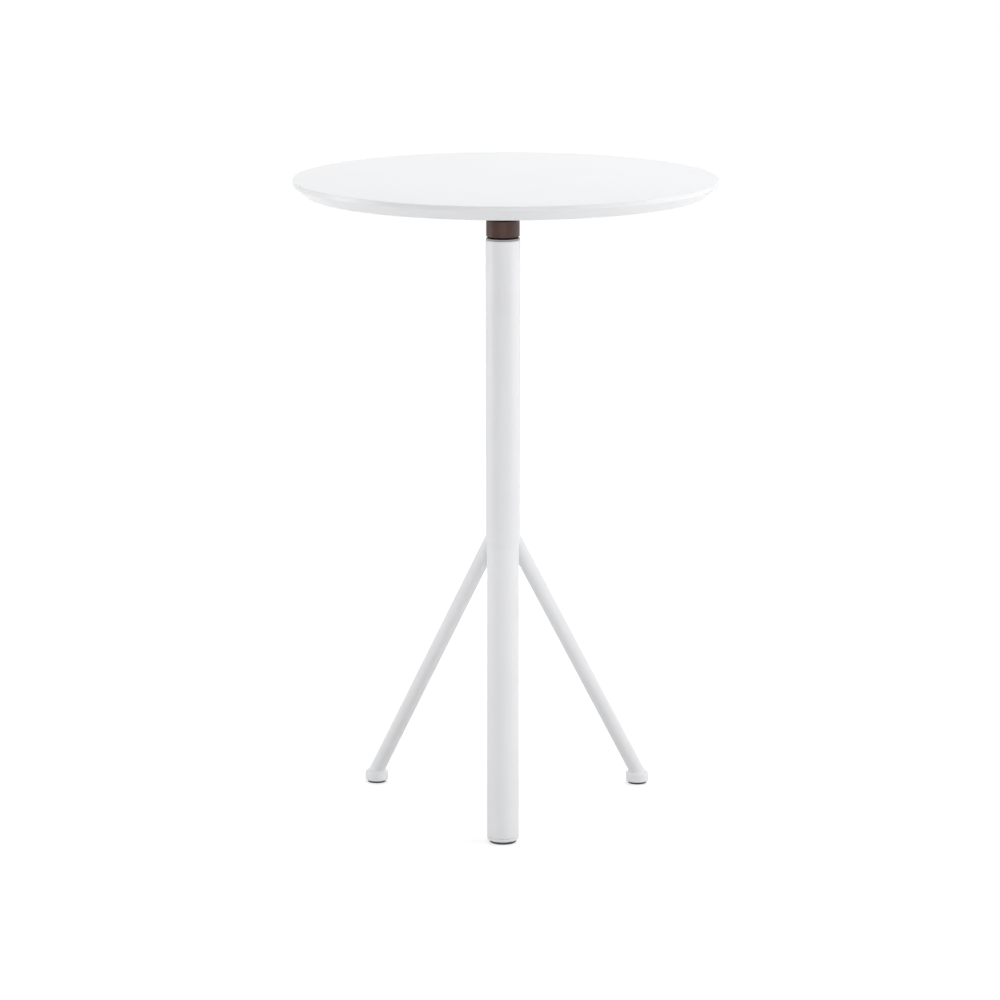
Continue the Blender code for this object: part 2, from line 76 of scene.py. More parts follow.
CAMERA_REACH = 200.0

# Studio
FLOOR_SIZE = 80.0
FLOOR_DROP = 0.0005
FLOOR_COLOUR = (0.62, 0.62, 0.62)
FLOOR_GLOW_NEAR = 0.56
FLOOR_GLOW_FAR = 0.90
FLOOR_GLOW_REACH = 3.0
WORLD_FILL = 0.20

# Lights, aimed at a height on the table's middle axis
SOFTBOX_LENGTH = 2.4
TOP_LIGHT_PLACE = (0.2, 0.2, 3.4)
TOP_LIGHT_POWER = 44
FRONT_LIGHT_HEIGHT = 0.3
FRONT_LIGHT_THICKNESS = 0.5
FRONT_LIGHT_POWER = 30
UPPER_AIM = 0.8
SIDE_LIGHT_DISTANCE = 3.0
SIDE_LIGHT_HEIGHT = 1.2
SIDE_LIGHT_WIDTH = 1.0
SIDE_LIGHT_AIM = 0.6

# Clearance between neighbouring pieces
FIT = 0.0003

# Edge roundings of small pieces
SHARP_EDGE = 0.0002
FINE_EDGE = 0.0003
SMALL_EDGE = 0.0004
SOFT_EDGE = 0.0006
CAST_EDGE = 0.0012

# Tabletop
TOP_LIP = 0.008
TOP_UNDERCUT = 0.020
TOP_EDGE_RADIUS = 0.0015
TOP_LIP_RADIUS = 0.0020

# Tubes
TUBE_RIM_RADIUS = 0.0008
COLUMN_WALL = 0.0015
FRONT_LEG_WALL = 0.002
SIDE_LEG_WALL = 0.0015
SIDE_LEG_RADIUS = 0.0125
JUNCTION_HEIGHT = 0.538
STEP_WELD_HEIGHT = 0.016
STEP_WELD_SKIN = 0.0002
STEP_WELD_ROWS = 12
LEG_BEAD_RADIUS = 0.0014
CUP_BEAD_RADIUS = 0.0011
EAR_BEAD_RADIUS = 0.0012
BEAD_RIPPLE = 0.06
BEAD_PITCH = 0.0028
BEAD_STEPS = 6
BEAD_SHARP_DEGREES = 60

# Feet
CUP_EDGE_RADIUS = 0.0042
CUP_FOOT_RADIUS = 0.0018
CUP_HEIGHT = 0.0165
CUP_SPIGOT_LENGTH = 0.035
PLUG_FLANGE = 0.0062
PLUG_EDGE_RADIUS = 0.0040
GLIDE_HEIGHT = 0.0035
GLIDE_TAPER = 0.0010
GLIDE_EDGE_RADIUS = 0.0004
GLIDE_POCKET = 0.0018
INSERT_RADIUS = 0.006
STUD_RADIUS = 0.004
STUD_PITCH = 0.00125
STUD_THREAD_DEPTH = 0.00065

# Head
SPIGOT_RADIUS = 0.019
NECK_EDGE_RADIUS = 0.0006
REST_PAD_BORE = 0.012
REST_PAD_EDGE = 0.0010
ARM_WIDTH = 0.036
ARM_END_DEPTH = 0.022
ARM_CORNER = 0.003
BARREL_RADIUS = 0.014
BARREL_WIDTH = 0.040
BOLT_RADIUS = 0.005
BUSH_WALL = 0.0022
BUSH_FLANGE = 0.0012
BUSH_LENGTH = 0.016
CAST_VOXEL = 0.0011
CAST_SMOOTHING = 8
CAST_SMOOTHING_STEP = 0.5

# Mounting plate, screws and lever
PLATE_THICKNESS = 0.003
PLATE_CORNER_RADIUS = 0.014
PLATE_EDGE_RADIUS = 0.0004
EAR_THICKNESS = 0.003
EAR_EYE_RADIUS = 0.0145
EAR_ROOT_LENGTH = 0.062
EAR_ROOT_RADIUS = 0.002
SCREW_NUMBERS = range(1, 7)
SCREW_RADIUS = 0.00225
SCREW_HEAD = 0.0028
SCREW_RIM = 0.45 * SCREW_HEAD
SCREW_CROWN_SHARE = 0.72
SCREW_CROWN_RADIUS = 0.0016
SCREW_TIP = 0.003
PILOT_SPARE = 0.002
RECESS_LENGTH = 0.0044
RECESS_WIDTH = 0.0011
RECESS_DEPTH = 0.0016
SET_SCREW_RECESS = 0.0006
HEX_SOCKET_RADIUS = 0.0017
HEX_SOCKET_DEPTH = 0.003
BOLT_HEAD_THICKNESS = 0.0064
BOLT_HEAD_CHAMFER = 0.0011
LEVER_HEIGHT = 0.019
LEVER_LENGTH = 0.072
LEVER_END_RADIUS = 0.0062
LEVER_SPLAY = 0.010
LEVER_EDGE_RADIUS = 0.0022
GRIP_GROOVES = 8
GRIP_GROOVE_RADIUS = 0.0011
GRIP_START = 0.45
GRIP_END = 0.93
CAM_RADIUS = 0.009
PIN_RADIUS = 0.003
PIN_EDGE = 0.0005

# Finishes: the noise values that count, and how the slow waves compare with the grain
NOISE_LOW = 0.3
NOISE_HIGH = 0.7
NOISE_DETAIL = 3.0
GRAIN_ROUGHNESS = 0.55
WAVE_LENGTH = 5
WAVE_DETAIL = 1.0
WAVE_HEIGHT = 2
WAVE_STRENGTH = 0.6

# Segments round a full turn
FINE = 256
ROUND = 128
TUBE = 96
SMALL = 48

SIDES = {"left": -1, "right": 1}

# Turns a piece made along Z so that it lies along X, its outline in the YZ plane
ALONG_X = Matrix(((0, 0, 1), (1, 0, 0), (0, 1, 0))).to_4x4()


def node_middle(name):
    low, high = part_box(name)
    return (low + high) / 2


def node_radius(name):
    low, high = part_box(name)
    return (high.x - low.x) / 2


def moved(place):
    return Matrix.Translation(Vector(place))


def pointing(place, direction):
    """Places a piece made along +Z so that it points along the direction."""
    turn = Vector(direction).to_track_quat("Z", "Y").to_matrix().to_4x4()
    return Matrix.Translation(Vector(place)) @ turn


# Outlines

def rounded(corners, is_closed=False, steps=5):
    """Points of an outline whose corners, given as (x, y, radius), are rounded."""
    points = []
    for index, (x, y, radius) in enumerate(corners):
        corner = Vector((x, y))
        is_end = not is_closed and index in (0, len(corners) - 1)
        if radius == 0 or is_end:
            points.append(corner)
            continue
        before = (Vector(corners[index - 1][:2]) - corner).normalized()
        after = (Vector(corners[(index + 1) % len(corners)][:2]) - corner).normalized()
        half = before.angle(after) / 2
        centre = corner + (before + after).normalized() * (radius / math.sin(half))
        start = corner + before * (radius / math.tan(half)) - centre
        end = corner + after * (radius / math.tan(half)) - centre
        first = math.atan2(start.y, start.x)
        sweep = (math.atan2(end.y, end.x) - first + math.pi) % (2 * math.pi) - math.pi
        for step in range(steps + 1):
            angle = first + sweep * step / steps
            points.append(centre + radius * Vector((math.cos(angle), math.sin(angle))))
    return points


def tube_outline(outer, inner, bottom, top, outer_round, inner_round):
    corners = [
        (outer, bottom, outer_round),
        (outer, top, outer_round),
        (inner, top, inner_round),
        (inner, bottom, inner_round),
    ]
    return rounded(corners, is_closed=True, steps=4)


def rod_outline(radius, bottom, top, edge=0):
    corners = [(0, bottom, 0), (radius, bottom, edge), (radius, top, edge), (0, top, 0)]
    return rounded(corners, steps=4)


def evenly(points, spacing):
    """Points at even steps along a closed path."""
    spots = []
    for index, point in enumerate(points):
        after = points[(index + 1) % len(points)]
        pieces = max(1, round((after - point).length / spacing))
        for piece in range(pieces):
            spots.append(point.lerp(after, piece / pieces))
    return spots


def circles_outline(circles, facets=SMALL):
    """The outline that wraps circles given as (x, y, radius)."""
    points = []
    for x, y, radius in circles:
        for step in range(facets):
            angle = 2 * math.pi * step / facets
            points.append(Vector((x + radius * math.cos(angle), y + radius * math.sin(angle))))
    return [points[index] for index in convex_hull_2d(points)]


# Solids, each added to a bmesh as one closed shell

def add_turned(bm, outline, segments, matrix=Matrix(), is_ring=False):
    """Turns (radius, height) points about Z. A solid's outline starts and ends on the axis."""
    rows = []
    for radius, height in outline:
        if radius == 0:
            rows.append([bm.verts.new(matrix @ Vector((0, 0, height)))])
            continue
        row = []
        for step in range(segments):
            angle = 2 * math.pi * step / segments
            point = Vector((radius * math.cos(angle), radius * math.sin(angle), height))
            row.append(bm.verts.new(matrix @ point))
        rows.append(row)
    pairs = list(zip(rows, rows[1:]))
    if is_ring:
        pairs.append((rows[-1], rows[0]))
    for lower, upper in pairs:
        for step in range(segments):
            after = (step + 1) % segments
            corners = [lower[step % len(lower)], lower[after % len(lower)]]
            corners += [upper[after % len(upper)], upper[step % len(upper)]]
            corners = list(dict.fromkeys(corners))
            if len(corners) > 2:
                bm.faces.new(corners)


def add_prism(bm, outline, thickness, matrix=Matrix()):
    lower = [bm.verts.new(matrix @ Vector((x, y, -thickness / 2))) for x, y in outline]
    upper = [bm.verts.new(matrix @ Vector((x, y, thickness / 2))) for x, y in outline]
    bm.faces.new(lower)
    bm.faces.new(upper)
    for index in range(len(outline)):
        after = (index + 1) % len(outline)
        bm.faces.new((lower[index], lower[after], upper[after], upper[index]))


def add_bead(bm, path, normals, radius, sides=10):
    """A weld bead of rippled thickness along a closed path."""
    count = len(path)
    length = sum((path[(index + 1) % count] - point).length for index, point in enumerate(path))
    ripples = max(1, round(length / BEAD_PITCH))
    rings = []
    travelled = 0.0
    for index, point in enumerate(path):
        tangent = (path[(index + 1) % count] - path[index - 1]).normalized()
        outward = (normals[index] - tangent * normals[index].dot(tangent)).normalized()
        across = tangent.cross(outward)
        thickness = radius * (1 + BEAD_RIPPLE * math.sin(2 * math.pi * ripples * travelled / length))
        travelled += (path[(index + 1) % count] - point).length
        ring = []
        for side in range(sides):
            angle = 2 * math.pi * side / sides
            offset = thickness * (math.cos(angle) * outward + math.sin(angle) * across)
            ring.append(bm.verts.new(point + offset))
        rings.append(ring)
    for index in range(count):
        here, there = rings[index], rings[(index + 1) % count]
        for side in range(sides):
            after = (side + 1) % sides
            bm.faces.new((here[side], here[after], there[after], there[side]))


def add_thread(bm, radius, bottom, top, pitch, depth, segments=24, rows_per_turn=8):
    """A rod with a helical thread and plain tapered ends."""
    rows = round((top - bottom) / pitch * rows_per_turn)
    rings = []
    for row in range(rows + 1):
        height = bottom + (top - bottom) * row / rows
        end_fade = min(1, (height - bottom) / pitch, (top - height) / pitch)
        ring = []
        for step in range(segments):
            turn = step / segments
            phase = ((height - bottom) / pitch - turn) % 1
            groove = abs(2 * phase - 1)
            reach = radius - depth * (groove * end_fade + (1 - end_fade))
            angle = 2 * math.pi * turn
            ring.append(bm.verts.new((reach * math.cos(angle), reach * math.sin(angle), height)))
        rings.append(ring)
    for lower, upper in zip(rings, rings[1:]):
        for step in range(segments):
            after = (step + 1) % segments
            bm.faces.new((lower[step], lower[after], upper[after], upper[step]))
    bm.faces.new(rings[0])
    bm.faces.new(rings[-1])


# Objects

def object_from(name, fill):
    """An object whose mesh is the closed bmesh that fill(bm) makes."""
    bm = bmesh.new()
    fill(bm)
    bmesh.ops.recalc_face_normals(bm, faces=bm.faces)
    mesh = bpy.data.meshes.new(name)
    bm.to_mesh(mesh)
    bm.free()
    obj = bpy.data.objects.new(name, mesh)
    bpy.context.scene.collection.objects.link(obj)
    return obj


def apply_modifiers(obj):
    bpy.context.view_layer.update()
    evaluated = obj.evaluated_get(bpy.context.evaluated_depsgraph_get())
    mesh = bpy.data.meshes.new_from_object(evaluated)
    obj.modifiers.clear()
    obj.data = mesh


def combine(obj, operation, fill):
    """Joins or cuts obj with the solid that fill(bm) makes."""
    helper = object_from(f"{obj.name}_{operation.lower()}", fill)
    boolean = obj.modifiers.new("boolean", "BOOLEAN")
    boolean.operation = operation
    boolean.solver = "EXACT"
    boolean.object = helper
    apply_modifiers(obj)
    bpy.data.objects.remove(helper)


def cut(obj, fill):
    combine(obj, "DIFFERENCE", fill)


def join(obj, fill):
    combine(obj, "UNION", fill)


def bevel(obj, width, segments=3, degrees=40):
    modifier = obj.modifiers.new("bevel", "BEVEL")
    modifier.width = width
    modifier.segments = segments
    modifier.limit_method = "ANGLE"
    modifier.angle_limit = math.radians(degrees)
    apply_modifiers(obj)


def finish(obj, finishes, slot, body, *replaced, sharp_degrees=35):
    """Shades a piece, gives it the finish of its slot, and puts it on its body."""
    obj.data.shade_smooth()
    obj.data.set_sharp_from_angle(angle=math.radians(sharp_degrees))
    obj.data.materials.clear()
    obj.data.materials.append(finishes[slot])
    weighted = obj.modifiers.new("weighted_normal", "WEIGHTED_NORMAL")
    weighted.keep_sharp = True
    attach(obj, body)
    if replaced:
        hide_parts(*replaced)
    return obj


# Materials

def new_material(name):
    material = bpy.data.materials.new(name)
    material.use_nodes = True
    tree = material.node_tree
    return material, tree, tree.nodes["Principled BSDF"]


def noise_field(tree, scale, detail=2.0, roughness=0.5, stretch=None):
    """Noise that sticks to the piece, scale in lumps per metre."""
    coordinates = tree.nodes.new("ShaderNodeTexCoord").outputs["Object"]
    if stretch is not None:
        mapping = tree.nodes.new("ShaderNodeMapping")
        mapping.inputs["Scale"].default_value = stretch
        tree.links.new(coordinates, mapping.inputs["Vector"])
        coordinates = mapping.outputs["Vector"]
    noise = tree.nodes.new("ShaderNodeTexNoise")
    noise.inputs["Scale"].default_value = scale
    noise.inputs["Detail"].default_value = detail
    noise.inputs["Roughness"].default_value = roughness
    tree.links.new(coordinates, noise.inputs["Vector"])
    return noise.outputs["Fac"]


def spread(tree, field, low, high):
    """Maps the noise's useful middle range to values from low to high."""
    mapping = tree.nodes.new("ShaderNodeMapRange")
    mapping.inputs["From Min"].default_value = NOISE_LOW
    mapping.inputs["From Max"].default_value = NOISE_HIGH
    mapping.inputs["To Min"].default_value = low
    mapping.inputs["To Max"].default_value = high
    tree.links.new(field, mapping.inputs["Value"])
    return mapping.outputs["Result"]


def tint(tree, shader, field, dark, light):
    mix = tree.nodes.new("ShaderNodeMix")
    mix.data_type = "RGBA"
    mix.inputs["A"].default_value = (*dark, 1)
    mix.inputs["B"].default_value = (*light, 1)
    tree.links.new(spread(tree, field, 0, 1), mix.inputs["Factor"])
    tree.links.new(mix.outputs["Result"], shader.inputs["Base Color"])


def add_bumps(tree, shader, *layers):
    """Stacks bumps given as (noise field, height in metres, strength)."""
    below = None
    for field, height, strength in layers:
        bump = tree.nodes.new("ShaderNodeBump")
        bump.inputs["Distance"].default_value = height
        bump.inputs["Strength"].default_value = strength
        tree.links.new(field, bump.inputs["Height"])
        if below is not None:
            tree.links.new(below, bump.inputs["Normal"])
        below = bump.outputs["Normal"]
    tree.links.new(below, shader.inputs["Normal"])


def textured(name, dark, light, gloss, patches, grain, metallic=0.0, specular=0.5, stretch=None):
    """A finish whose colour drifts from dark to light and whose roughness spans gloss.

    patches is the drift's lumps per metre, and grain is the surface's lumps per metre, their
    height in metres and their strength. stretch draws the grain out along an axis.
    """
    material, tree, shader = new_material(name)
    drift = noise_field(tree, patches, NOISE_DETAIL)
    tint(tree, shader, drift, dark, light)
    shader.inputs["Metallic"].default_value = metallic
    shader.inputs["Specular IOR Level"].default_value = specular
    lumps, height, strength = grain
    fine = noise_field(tree, lumps, NOISE_DETAIL, GRAIN_ROUGHNESS, stretch)
    tree.links.new(spread(tree, fine, *gloss), shader.inputs["Roughness"])
    waves = noise_field(tree, lumps / WAVE_LENGTH, WAVE_DETAIL)
    wave_bump = (waves, height * WAVE_HEIGHT, strength * WAVE_STRENGTH)
    add_bumps(tree, shader, wave_bump, (fine, height, strength))
    return material


def make_finishes():
    """One finish for each material slot of the record."""
    return {
        "white_coat": textured(
            "white_powder_coat",
            dark=(0.825, 0.828, 0.842),
            light=(0.850, 0.852, 0.864),
            gloss=(0.40, 0.52),
            patches=9,
            grain=(900, 0.00006, 0.45),
        ),
        "white_board": textured(
            "white_laminate",
            dark=(0.862, 0.868, 0.880),
            light=(0.878, 0.883, 0.893),
            gloss=(0.34, 0.44),
            patches=6,
            grain=(1100, 0.00004, 0.25),
        ),
        "white_plastic": textured(
            "white_moulded_plastic",
            dark=(0.820, 0.822, 0.834),
            light=(0.840, 0.842, 0.852),
            gloss=(0.36, 0.44),
            patches=30,
            grain=(1800, 0.00003, 0.20),
        ),
        "brown_coat": textured(
            "brown_satin_coat",
            dark=(0.064, 0.034, 0.027),
            light=(0.077, 0.042, 0.034),
            gloss=(0.36, 0.48),
            patches=45,
            grain=(900, 0.00010, 0.50),
            specular=0.16,
        ),
        "grey_plastic": textured(
            "grey_moulded_plastic",
            dark=(0.36, 0.35, 0.35),
            light=(0.41, 0.40, 0.40),
            gloss=(0.50, 0.60),
            patches=60,
            grain=(2200, 0.00004, 0.25),
        ),
        "dark_plastic": textured(
            "dark_moulded_plastic",
            dark=(0.026, 0.026, 0.028),
            light=(0.036, 0.036, 0.038),
            gloss=(0.48, 0.60),
            patches=60,
            grain=(2200, 0.00006, 0.35),
        ),
        # Near-black rubber for the neck seal and rest pad: the rubber is dark, and its tone is set
        # darker still as painted shade for the narrow gaps above and below the neck
        "dark_rubber": textured(
            "dark_rubber",
            dark=(0.006, 0.005, 0.005),
            light=(0.011, 0.009, 0.009),
            gloss=(0.70, 0.85),
            patches=80,
            grain=(2600, 0.00006, 0.40),
            specular=0.12,
        ),
        "nylon": textured(
            "natural_nylon",
            dark=(0.71, 0.69, 0.63),
            light=(0.77, 0.75, 0.70),
            gloss=(0.42, 0.52),
            patches=50,
            grain=(1800, 0.00003, 0.20),
        ),
        "zinc_steel": textured(
            "zinc_plated_steel",
            dark=(0.56, 0.57, 0.585),
            light=(0.64, 0.645, 0.65),
            gloss=(0.26, 0.42),
            patches=35,
            grain=(2400, 0.00002, 0.30),
            metallic=1.0,
            stretch=(1, 1, 0.15),
        ),
    }


# Top

def make_tabletop(finishes):
    low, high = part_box("tabletop")
    radius = node_radius("tabletop")
    outline = rounded(
        [
            (0, low.z, 0),
            (radius - TOP_UNDERCUT, low.z, TOP_LIP_RADIUS),
            (radius, high.z - TOP_LIP, TOP_LIP_RADIUS),
            (radius, high.z, TOP_EDGE_RADIUS),
            (0, high.z, 0),
        ],
        steps=6,
    )
    top = object_from("tabletop_board", lambda bm: add_turned(bm, outline, FINE))

    def add_pilot_holes(bm):
        for number in SCREW_NUMBERS:
            screw_low, screw_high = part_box(f"plate_screw_{number}")
            place = node_middle(f"plate_screw_{number}")
            hole = rod_outline(SCREW_RADIUS + FIT, screw_low.z, screw_high.z + PILOT_SPARE)
            add_turned(bm, hole, SMALL, moved((place.x, place.y, 0)))

    cut(top, add_pilot_holes)
    finish(top, finishes, "white_board", "top", "tabletop")


def make_plate(finishes):
    low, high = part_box("mounting_plate")
    corner = PLATE_CORNER_RADIUS
    corners = []
    for x in (low.x + corner, high.x - corner):
        for y in (low.y + corner, high.y - corner):
            corners.append((x, y, corner))
    middle = high.z - PLATE_THICKNESS / 2
    plate = object_from(
        "mounting_plate_steel",
        lambda bm: add_prism(bm, circles_outline(corners), PLATE_THICKNESS, moved((0, 0, middle))),
    )
    pivot = pivot_point()
    root = EAR_ROOT_LENGTH / 2 - EAR_ROOT_RADIUS
    rise = middle - pivot.z - EAR_ROOT_RADIUS / 2
    ear = [(0, 0, EAR_EYE_RADIUS), (-root, rise, EAR_ROOT_RADIUS), (root, rise, EAR_ROOT_RADIUS)]
    inner = ear_inner()
    for sign in SIDES.values():
        place = moved((sign * (inner + EAR_THICKNESS / 2), pivot.y, pivot.z)) @ ALONG_X
        join(plate, lambda bm: add_prism(bm, circles_outline(ear), EAR_THICKNESS, place))
    bore = rod_outline(BOLT_RADIUS + FIT, -inner * 2, inner * 2)
    cut(plate, lambda bm: add_turned(bm, bore, SMALL, moved(pivot) @ ALONG_X))
    hole = rod_outline(SCREW_RADIUS + FIT, -PLATE_THICKNESS, PLATE_THICKNESS)
    for number in SCREW_NUMBERS:
        x, y, _ = node_middle(f"plate_screw_{number}")
        cut(plate, lambda bm: add_turned(bm, hole, SMALL, moved((x, y, middle))))
    bevel(plate, PLATE_EDGE_RADIUS, 2)
    finish(plate, finishes, "zinc_steel", "top", "mounting_plate")
    underside = middle - PLATE_THICKNESS / 2
    for side, sign in SIDES.items():
        make_ear_weld(finishes, side, sign * (inner + EAR_THICKNESS / 2), pivot.y, underside)


def make_ear_weld(finishes, side, x, y, height):
    """A weld bead round the root of an ear, on the underside of the plate."""
    half_width = EAR_THICKNESS / 2
    half_length = EAR_ROOT_LENGTH / 2
    radius = EAR_BEAD_RADIUS
    corners = [
        (-half_width, -half_length, radius),
        (half_width, -half_length, radius),
        (half_width, half_length, radius),
        (-half_width, half_length, radius),
    ]
    outline = evenly(rounded(corners, is_closed=True, steps=4), BEAD_PITCH / BEAD_STEPS)
    path = [Vector((x + point.x, y + point.y, height)) for point in outline]
    normals = []
    for point in outline:
        is_end = abs(point.y) > half_length - half_width
        outward = Vector((0, point.y, 0)) if is_end else Vector((point.x, 0, 0))
        normals.append((outward.normalized() + Vector((0, 0, -1))).normalized())
    weld = object_from(f"ear_weld_{side}", lambda bm: add_bead(bm, path, normals, radius))
    finish(weld, finishes, "zinc_steel", "top", sharp_degrees=BEAD_SHARP_DEGREES)


def make_plate_screws(finishes):
    """Pan head screws, their cross recesses each left at another angle."""
    low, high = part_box("plate_screw_1")
    head_radius = node_radius("plate_screw_1")
    seat = low.z + SCREW_HEAD
    outline = rounded(
        [
            (0, low.z, 0),
            (head_radius * SCREW_CROWN_SHARE, low.z, SCREW_CROWN_RADIUS),
            (head_radius, seat - SCREW_RIM, SOFT_EDGE),
            (head_radius, seat, SHARP_EDGE),
            (SCREW_RADIUS, seat, SHARP_EDGE),
            (SCREW_RADIUS, high.z - SCREW_TIP, SMALL_EDGE),
            (SCREW_RADIUS / 4, high.z, 0),
            (0, high.z, 0),
        ]
    )
    half = RECESS_LENGTH / 2
    slot = RECESS_WIDTH / 2
    bar = [(-half, -slot), (half, -slot), (half, slot), (-half, slot)]
    for number in SCREW_NUMBERS:
        x, y, _ = node_middle(f"plate_screw_{number}")
        axis = moved((x, y, 0))
        screw = object_from(
            f"pan_screw_{number}", lambda bm: add_turned(bm, outline, SMALL, axis)
        )
        for turn in (number, number + math.pi / 2):
            place = moved((x, y, low.z)) @ Matrix.Rotation(turn, 4, "Z")
            cut(screw, lambda bm: add_prism(bm, bar, 2 * RECESS_DEPTH, place))
        finish(screw, finishes, "zinc_steel", "top", f"plate_screw_{number}")


# Pivot

def pivot_point():
    washer = node_middle("pivot_washer_left")
    return Vector((0, washer.y, washer.z))


def ear_inner():
    return BARREL_WIDTH / 2 + FIT + BUSH_FLANGE + FIT


def make_pivot_hardware(finishes):
    pivot = pivot_point()
    place = moved(pivot) @ ALONG_X
    for side in SIDES:
        node = f"pivot_washer_{side}"
        low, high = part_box(node)
        radius = (high.z - low.z) / 2
        bore = BOLT_RADIUS + FIT
        outline = tube_outline(radius, bore, low.x, high.x, FINE_EDGE, SHARP_EDGE)
        washer = object_from(
            f"steel_washer_{side}", lambda bm: add_turned(bm, outline, SMALL, place, True)
        )
        finish(washer, finishes, "zinc_steel", "top", node)
    low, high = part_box("cam_pad")
    radius = (high.z - low.z) / 2
    outline = tube_outline(radius, BOLT_RADIUS + FIT, low.x, high.x, SOFT_EDGE, FINE_EDGE)
    pad = object_from("cam_thrust_pad", lambda bm: add_turned(bm, outline, SMALL, place, True))
    finish(pad, finishes, "dark_plastic", "top", "cam_pad")
    low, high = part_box("pivot_bolt")
    head_radius = (high.y - low.y) / 2
    head_face = low.x + BOLT_HEAD_THICKNESS
    hexagon = rod_outline(head_radius, low.x, head_face)
    bolt = object_from("pivot_hex_bolt", lambda bm: add_turned(bm, hexagon, 6, place))
    flat_radius = head_radius * math.cos(math.pi / 6)
    outer_radius = flat_radius + 2 * BOLT_HEAD_CHAMFER
    chamfer = [
        (0, low.x, 0),
        (flat_radius, low.x, BOLT_HEAD_CHAMFER / 3),
        (outer_radius, low.x + BOLT_HEAD_CHAMFER, 0),
        (outer_radius, head_face, 0),
        (0, head_face, 0),
    ]
    combine(bolt, "INTERSECT", lambda bm: add_turned(bm, rounded(chamfer), TUBE, place))
    shank = rod_outline(BOLT_RADIUS, head_face - BOLT_HEAD_CHAMFER, high.x, BOLT_HEAD_CHAMFER / 2)
    join(bolt, lambda bm: add_turned(bm, shank, SMALL, place))
    pin = node_middle("lever_pin")
    hole = rod_outline(PIN_RADIUS + FIT, -LEVER_HEIGHT, LEVER_HEIGHT)
    cut(bolt, lambda bm: add_turned(bm, hole, SMALL, moved(pin)))
    finish(bolt, finishes, "zinc_steel", "top", "pivot_bolt")


def make_lever(finishes):
    pin = node_middle("lever_pin")
    ends = [(0, 0, CAM_RADIUS), (LEVER_SPLAY, LEVER_LENGTH, LEVER_END_RADIUS)]
    outline = circles_outline(ends, TUBE)
    lever = object_from("cam_lever", lambda bm: add_prism(bm, outline, LEVER_HEIGHT, moved(pin)))
    bevel(lever, LEVER_EDGE_RADIUS, 4)
    beyond_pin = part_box("pivot_bolt")[1].x - pin.x
    slot = rod_outline(beyond_pin + BOLT_RADIUS, -BOLT_RADIUS - FIT, BOLT_RADIUS + FIT)
    cut(lever, lambda bm: add_turned(bm, slot, TUBE, moved(pin)))
    hole = rod_outline(PIN_RADIUS + FIT, -LEVER_HEIGHT, LEVER_HEIGHT)
    cut(lever, lambda bm: add_turned(bm, hole, SMALL, moved(pin)))
    groove = rod_outline(GRIP_GROOVE_RADIUS, -LEVER_HEIGHT, LEVER_HEIGHT)

    def add_grip_grooves(bm):
        for number in range(GRIP_GROOVES):
            share = GRIP_START + (GRIP_END - GRIP_START) * number / (GRIP_GROOVES - 1)
            x, y = lever_flank(share, GRIP_GROOVE_RADIUS / 2)
            add_turned(bm, groove, SMALL, moved((pin.x + x, pin.y + y, pin.z)))

    cut(lever, add_grip_grooves)
    finish(lever, finishes, "dark_plastic", "lever", "lock_lever")
    low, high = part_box("lever_pin")
    rod = rod_outline(PIN_RADIUS, low.z, high.z, PIN_EDGE)
    axis = moved((pin.x, pin.y, 0))
    steel_pin = object_from("cam_pin", lambda bm: add_turned(bm, rod, SMALL, axis))
    finish(steel_pin, finishes, "zinc_steel", "lever", "lever_pin")


def lever_flank(share, stand_off):
    """A point beside the lever's outer flank, share of the way from its cam end to its tip."""
    tip = Vector((LEVER_SPLAY, LEVER_LENGTH))
    along = tip.normalized()
    lean = (LEVER_END_RADIUS - CAM_RADIUS) / tip.length
    outward = along * lean + Vector((along.y, -along.x)) * math.sqrt(1 - lean * lean)
    radius = CAM_RADIUS + (LEVER_END_RADIUS - CAM_RADIUS) * share
    return tip * share + outward * (radius + stand_off)


# Head

